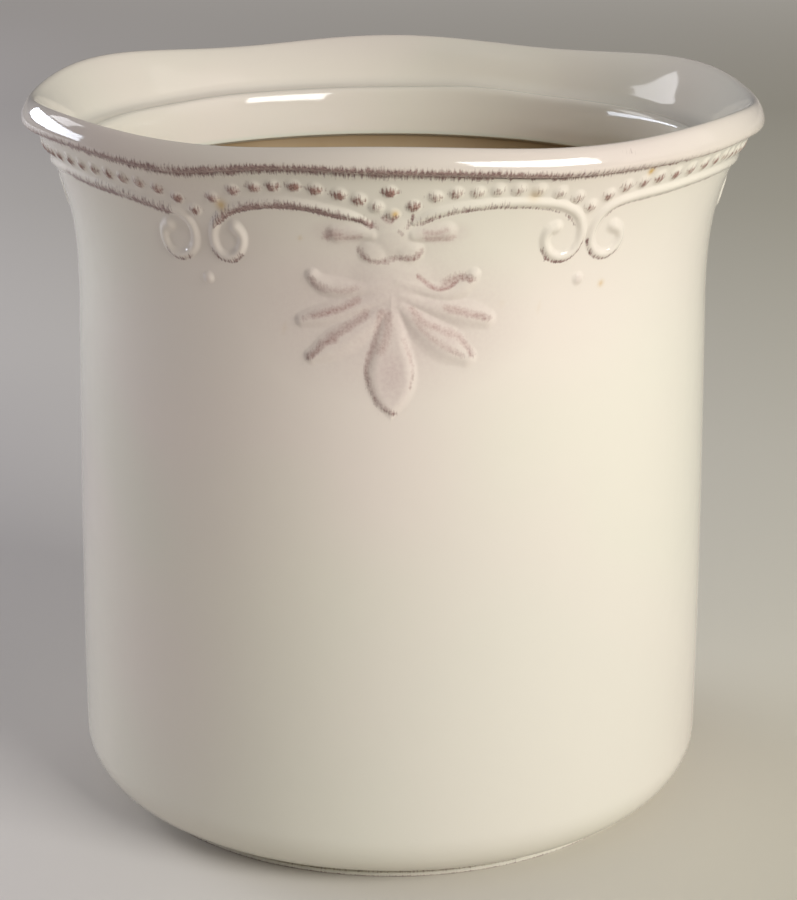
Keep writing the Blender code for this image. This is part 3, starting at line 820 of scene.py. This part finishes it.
class Socket:
    """One output of a material's node. Arithmetic on it adds Math nodes."""

    def __init__(self, finish, link):
        self.finish = finish
        self.link = link

    def maths(self, operation, *values, clamp=False):
        settings = {"operation": operation, "use_clamp": clamp}
        return self.finish.node("ShaderNodeMath", settings, dict(enumerate(values)))

    def __add__(self, other):
        return self.maths("ADD", self, other)

    def __sub__(self, other):
        return self.maths("SUBTRACT", self, other)

    def __rsub__(self, other):
        return self.maths("SUBTRACT", other, self)

    def __mul__(self, other):
        return self.maths("MULTIPLY", self, other)

    def __truediv__(self, other):
        return self.maths("DIVIDE", self, other)

    def __rtruediv__(self, other):
        return self.maths("DIVIDE", other, self)

    __radd__ = __add__
    __rmul__ = __mul__

    def root(self):
        """The square root."""
        return self.maths("SQRT", self)

    def at_least(self, low):
        """The value, or low where it is less."""
        return self.maths("MAXIMUM", self, low)

    def clipped(self):
        """The value kept between 0 and 1."""
        return self.maths("ADD", self, 0.0, clamp=True)

    def step(self, low, high):
        """0 below low and 1 above high, straight between them."""
        return ((self - low) * (1 / (high - low))).clipped()


class Finish:
    """A material and the nodes it is made of."""

    def __init__(self, name):
        self.material = bpy.data.materials.new(name)
        self.material.use_nodes = True
        self.tree = self.material.node_tree
        self.tree.nodes.clear()

    def node(self, kind, settings=None, inputs=None, output=0):
        """A node of this kind: its settings first, a ramp's stops among them, then its sockets.

        It gives one output, or several.
        """
        node = self.tree.nodes.new(kind)
        for name, value in (settings or {}).items():
            if name == "stops":
                for number, (position, colour) in enumerate(value):
                    elements = node.color_ramp.elements
                    stop = elements[number] if number < 2 else elements.new(position)
                    stop.position, stop.color = position, colour
            else:
                setattr(node, name, value)
        for name, value in (inputs or {}).items():
            if isinstance(value, Socket):
                self.tree.links.new(value.link, node.inputs[name])
            else:
                node.inputs[name].default_value = value
        if isinstance(output, tuple):
            return [Socket(self, node.outputs[number]) for number in output]
        return Socket(self, node.outputs[output]) if node.outputs else None

    def mix(self, share, first, second):
        """A colour between two colours."""
        return self.node("ShaderNodeMix", {"data_type": "RGBA"}, {0: share, 6: first, 7: second}, 2)

    def noise(self, place, scale, detail=2.0):
        """Soft noise from 0 to 1 at so many features a metre."""
        return self.node("ShaderNodeTexNoise", {}, {"Vector": place, "Scale": scale, "Detail": detail})

    def combed(self, place, across, along):
        """A place for a brush's hairs: so many a metre round the crock, and so many breaks a metre up it."""
        x, y, z = self.node("ShaderNodeSeparateXYZ", {}, {0: place}, (0, 1, 2))
        share = across * waist_radius / (x * x + y * y).root()
        return self.node("ShaderNodeCombineXYZ", {}, {0: x * share, 1: y * share, 2: z * along})

    def surface(self, **sockets):
        """The Principled shader with these sockets, joined to the output."""
        named = {name.replace("_", " "): value for name, value in sockets.items()}
        shader = self.node("ShaderNodeBsdfPrincipled", {}, named)
        self.node("ShaderNodeOutputMaterial", {}, {"Surface": shader})
        return self.material


cream = srgb(229, 222, 207)
warm_cream = srgb(233, 219, 209)
cool_cream = srgb(221, 219, 204)
stain_brown = srgb(116, 84, 80)
stain_light = srgb(160, 130, 124)
bead_brown = srgb(118, 74, 65)
bead_light = srgb(158, 118, 106)
leaf_brown = srgb(176, 142, 134)
leaf_light = srgb(198, 172, 165)
film_mauve = srgb(200, 178, 173)
# The inside below the neck's edge: its brown is partly bare clay and partly painted shade of the inside under
# the neck, darkening to a painted shadow right under the edge
bare_clay_and_shade = srgb(234, 210, 174)
damp_clay_and_shade = srgb(204, 176, 134)
shadow_clay = srgb(112, 90, 56)
edge_green = srgb(214, 216, 200)
speck_yellow = srgb(206, 168, 92)

# Features a metre of the glaze's noises

cloud_count = 15.0
drift_count = 7.0
wipe_count = 1100.0
grain_count = 1700.0
hair_count = 2500.0
hair_breaks = 420.0
clump_count = 210.0
ripple_count = 90.0
pit_count = 600.0
sheen_count = 40.0
clay_count = 30.0


def glaze(name, dark=stain_brown, light=stain_light, inside=False):
    """Cream glaze: cloudy, specked with iron, stained where the brush went, and slightly uneven.

    The stain is dark or light brown in a fine grain. It shows where the brush's cover is more than its
    streaks and grain leave bare. Where a film of it was left by wiping, its strokes are soft and lighter.
    Inside, below the neck's edge, the brown is partly bare clay and partly painted shade of the inside under
    the neck, darkest right under the edge as a painted shadow, and the glaze is thick and green on the edge.
    The amounts in the mixes were set one by one.
    """
    finish = Finish(name)
    place = finish.node("ShaderNodeTexCoord", output=3)
    clouds = finish.noise(place, cloud_count, 1.0).step(0.4, 0.6)
    drift = finish.noise(place, drift_count, 1.0).step(0.4, 0.6)
    body = finish.mix(clouds * 0.7, cream, warm_cream)
    body = finish.mix(drift * 0.6, body, cool_cream)

    marks = finish.node("ShaderNodeAttribute", {"attribute_name": "stain"})
    cover, film, speck = finish.node("ShaderNodeSeparateColor", {}, {0: marks}, (0, 1, 2))
    wiped = finish.noise(place, wipe_count, 3.0).step(0.3, 0.7)
    grain = finish.noise(place, grain_count).step(0.36, 0.64)
    streaks = finish.noise(finish.combed(place, hair_count, hair_breaks), 1.0, 1.0).step(0.34, 0.66)
    soft = ((film - 0.32) * 4.0).clipped()
    clumps = finish.noise(place, clump_count).step(0.3, 0.7)
    ragged = streaks * (0.78 - soft * 0.4) + grain * (0.22 + soft * 0.18)
    brush = cover * (0.82 + clumps * 0.36) * (1.3 - soft * 0.15)
    stained = ((brush - ragged * (0.8 - soft * 0.42)) * (1.45 - soft * 0.5)).clipped()
    body = finish.mix(((film - 0.25) * 1.3).clipped() * (wiped * 0.35 + 0.5), body, film_mauve)
    body = finish.mix(speck, body, speck_yellow)
    brown = finish.mix(soft, finish.mix(grain, dark, light), finish.mix(grain, leaf_brown, leaf_light))
    body = finish.mix(stained * 0.92, body, brown)

    unevenness = finish.noise(place, ripple_count) * 0.7 + finish.noise(place, pit_count, 1.0) * 0.04
    bump = finish.node("ShaderNodeBump", {}, {"Strength": 0.06, "Distance": 0.002, "Height": unevenness})
    rough = finish.noise(place, sheen_count) * 0.04 + 0.05 + stained * 0.2
    if inside:
        marks = finish.node("ShaderNodeAttribute", {"attribute_name": "clay"})
        bare, edge, blush = finish.node("ShaderNodeSeparateColor", {}, {0: marks}, (0, 1, 2))
        damp = finish.noise(place, clay_count, 4.0).step(0.35, 0.7)
        # Painted shade below the neck's edge over partly bare clay, darkest as a painted shadow right under
        # the edge
        clay = finish.mix(edge, finish.mix(damp, bare_clay_and_shade, damp_clay_and_shade), shadow_clay)
        body = finish.mix(blush * (1 - stained) * 0.3, body, film_mauve)
        body = finish.mix(bare, finish.mix(edge * 0.8, body, edge_green), clay)
        rough = rough + bare * 0.35
    return finish.surface(Base_Color=body, Roughness=rough, Normal=bump)


# The pieces

def place_piece(piece, material, node):
    """Give a piece its glaze, let it ride on the crock and stand for its solid."""
    piece.data.materials.append(material)
    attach(piece, "root")
    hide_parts(node)


wall_glaze = glaze("cream glaze on the wall")
lip_glaze = glaze("cream glaze on the lip and inside", inside=True)
bead_glaze = glaze("cream glaze on the beads", bead_brown, bead_light)
swag_glaze = glaze("cream glaze on the swags")
drop_glaze = glaze("cream glaze on the drops")
palmette_glaze = glaze("cream glaze on the palmettes")

outside, inside = wall_line(), inside_line()
wall = turn_piece("crock_wall_and_foot", outside, 0, wall_marks, lobe_share(outside[:, 1]))
lip = turn_piece("crock_lip_and_inside", inside, -1, lip_marks, inside_waves(inside))
place_piece(wall, wall_glaze, "crock_body")
place_piece(lip, lip_glaze, "crock_body")
for side, row in bead_rows.items():
    piece = build_sprig(f"beads_{side}", bead_sprig(row))
    place_piece(piece, bead_glaze, f"bead_course_{side}")
for side, line in swag_lines.items():
    sprig = swag_sprig(line, side in ("right_front", "left_front", "right_back", "left_back"))
    place_piece(build_sprig(f"swag_{side}_cord", sprig), swag_glaze, f"swag_{side}")
for side, (place,) in drop_rows.items():
    sprig = mound_sprig(place, drop_radius, drop_rise)
    place_piece(build_sprig(f"drop_{side}", sprig), drop_glaze, f"junction_drop_{side}")
for side, turn in (("front", 0.0), ("back", 180.0)):
    sprig = mound_sprig((turn + top_bead[0], top_bead[1]), bead_radius, bead_rise)
    place_piece(build_sprig(f"bead_top_{side}", sprig), bead_glaze, f"top_bead_{side}")
    piece = build_sprig(f"palmette_{side}_relief", palmette_sprig(turn))
    place_piece(piece, palmette_glaze, f"palmette_{side}")


# The floor, the lamps and the camera

# The paper's grey from the crock to far behind it, with painted light in it: it changes with distance to
# stand in for how the lamps' light falls on the paper. A ramp has its two ends first

paper_and_painted_light_stops = [
    (0.0, (0.7, 0.665, 0.61, 1.0)), (1.0, (0.68, 0.64, 0.565, 1.0)), (0.2, (0.7, 0.66, 0.6, 1.0)),
    (0.45, (0.63, 0.59, 0.51, 1.0)), (0.75, (0.655, 0.61, 0.53, 1.0)),
]
# Painted light on the paper: cooler to the left and warmer to the right for the lamps' colours, and darker
# far to the left as painted shade
near_left_painted_tint = (0.97, 0.96, 1.0, 1.0)
far_left_painted_shade_tint = (0.75, 0.73, 0.78, 1.0)
right_painted_tint = (1.0, 1.0, 0.92, 1.0)
far_glow = (0.2, 0.19, 0.18, 1.0)
black = (0.0, 0.0, 0.0, 1.0)


def make_floor():
    """A wide sheet of pale grey paper, tinted cooler to the left and warmer to the right.

    The tint turns with the distance across over the distance from the camera. The grey and the tint are
    painted light: they stand in for how the lamps' light and its colour fall on the paper, with painted shade
    far to the left.
    lamps fall off, the paper glows a little to the camera and in reflections.
    """
    across, away = np.meshgrid(np.linspace(-6.0, 6.0, 7), np.linspace(-3.0, 9.0, 7))
    points = np.stack([across, away, np.zeros_like(across)], axis=-1).reshape(-1, 3)
    index = np.arange(49).reshape(7, 7)
    cells = np.stack([index[:-1, :-1], index[:-1, 1:], index[1:, 1:], index[1:, :-1]], axis=-1).reshape(-1, 4)
    floor = fill_mesh("floor", points, np.tile([0.0, 0.0, 1.0], (49, 1)), [cells], {})
    finish = Finish("grey paper")
    place = finish.node("ShaderNodeTexCoord", output=3)
    across, away = finish.node("ShaderNodeSeparateXYZ", {}, {0: place}, (0, 1))
    distance = away.step(-0.1, 1.8)
    paper = finish.node("ShaderNodeValToRGB", {"stops": paper_and_painted_light_stops}, {0: distance})
    side = (across / (away + 0.65).at_least(0.35)).step(-0.17, 0.17)
    left_tint = finish.mix(away.step(0.4, 1.0), near_left_painted_tint, far_left_painted_shade_tint)
    tint = finish.mix(side, left_tint, right_painted_tint)
    settings = {"data_type": "RGBA", "blend_type": "MULTIPLY"}
    paper = finish.node("ShaderNodeMix", settings, {0: 1.0, 6: paper, 7: tint}, 2)
    camera_ray, glossy_ray = finish.node("ShaderNodeLightPath", {}, {}, (0, 3))
    seen = (camera_ray + glossy_ray).clipped() * away.step(1.1, 2.0)
    glow = finish.mix(seen, black, far_glow)
    sheet = finish.surface(Base_Color=paper, Roughness=0.9, Emission_Color=glow, Emission_Strength=1.0)
    floor.data.materials.append(sheet)


lamp_distance = 1.5
lamp_target = Vector((0.0, 0.0, 0.11))


def add_lamp(name, azimuth, elevation, size, power, colour):
    """A softbox that faces the crock, so many degrees to the right of the camera and above the floor."""
    light = bpy.data.lights.new(name, "AREA")
    light.shape = "RECTANGLE"
    light.size, light.size_y = size
    light.energy = power
    light.color = colour
    lamp = bpy.data.objects.new(name, light)
    turn, rise = azimuth * degree, elevation * degree
    away = Vector((np.sin(turn) * np.cos(rise), -np.cos(turn) * np.cos(rise), np.sin(rise)))
    aim = away.to_track_quat("Z", "Y").to_matrix().to_4x4()
    lamp.matrix_world = Matrix.Translation(lamp_target + away * lamp_distance) @ aim
    bpy.context.scene.collection.objects.link(lamp)


def add_camera():
    """The photograph's camera: a long lens looking down by 17.7 degrees, with a hair of roll."""
    pitch, roll, distance = 0.3085, -0.0053, 0.6
    target = np.array([0.00176, 0.0, 0.08705])
    forward = np.array([0.0, np.cos(pitch), -np.sin(pitch)])
    right, up = np.array([1.0, 0.0, 0.0]), np.array([0.0, np.sin(pitch), np.cos(pitch)])
    lens = bpy.data.cameras.new("camera")
    lens.sensor_fit = "AUTO"
    lens.sensor_width = 36.0
    lens.lens = 91.93
    lens.clip_start = 0.01
    camera = bpy.data.objects.new("camera", lens)
    pose = np.eye(4)
    pose[:3, 0] = np.cos(roll) * right - np.sin(roll) * up
    pose[:3, 1] = np.sin(roll) * right + np.cos(roll) * up
    pose[:3, 2] = -forward
    pose[:3, 3] = target - distance * forward
    camera.matrix_world = Matrix(pose.tolist())
    bpy.context.scene.collection.objects.link(camera)
    bpy.context.scene.camera = camera


make_floor()
add_lamp("key softbox", 46.0, 24.0, (0.9, 0.5), 18.8, (0.99, 0.99, 0.97))
add_lamp("right softbox", 86.0, 24.0, (1.0, 1.0), 1.8, (1.0, 0.92, 0.92))
add_lamp("left panel", -121.0, 10.0, (1.3, 0.36), 14.8, (0.83, 0.89, 1.0))
add_lamp("small back softbox", -119.0, 26.5, (0.5, 0.38), 2.5, (0.98, 0.98, 1.0))
add_camera()

world = bpy.data.worlds.new("studio")
bpy.context.scene.world = world
world.use_nodes = True
surroundings = world.node_tree.nodes["Background"].inputs
surroundings["Color"].default_value = (1.0, 0.96, 0.97, 1.0)
surroundings["Strength"].default_value = 0.155
bpy.context.scene.view_settings.view_transform = "Standard"
